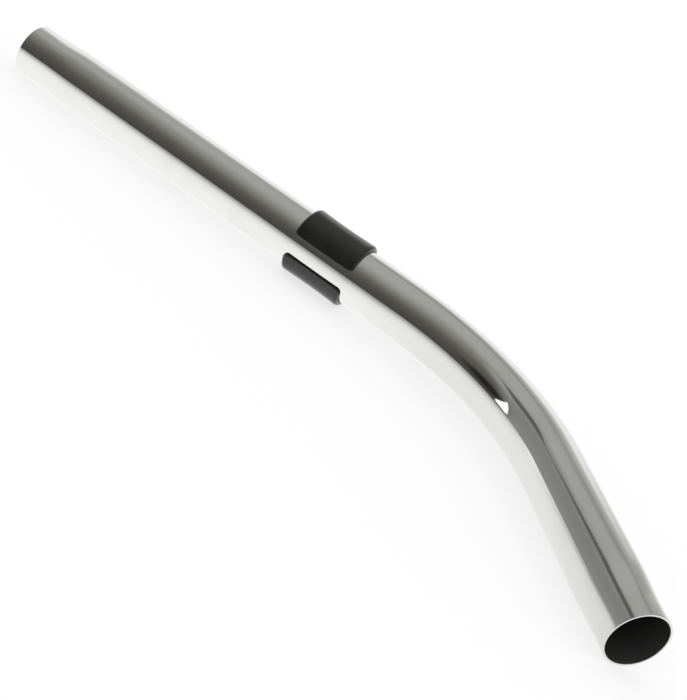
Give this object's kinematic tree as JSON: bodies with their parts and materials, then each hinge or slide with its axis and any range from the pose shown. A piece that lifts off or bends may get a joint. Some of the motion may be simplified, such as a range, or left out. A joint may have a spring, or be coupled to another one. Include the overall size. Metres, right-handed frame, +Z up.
{
  "type": "curved vacuum wand",
  "caption": "Bent chromed tube of a vacuum cleaner, drawn down at both ends to push into sockets, with a split collar that turns to open a bleed slot.",
  "frame": {"origin": "on the floor, under the middle of the wand's bounding box", "axes": "+X along the long leg towards the bend, +Z up, with the wand lying as it comes to rest on both ends and the collar"},
  "size_m": [0.454, 0.158, 0.0382],
  "materials": {
    "chromed_steel": "polished chrome plate on steel",
    "black_plastic": "moulded black plastic, satin"
  },
  "bodies": {
    "tube": {"bent_tube": "chromed_steel"},
    "collar": {"suction_collar": "black_plastic"}
  },
  "joints": [
    {"name": "collar_turn", "type": "hinge", "parent": "tube", "child": "collar", "pos_m": [-0.01543, 0.06016, 0.01912], "axis": [0.9998, 0, 0.0175], "continuous": true}
  ]
}
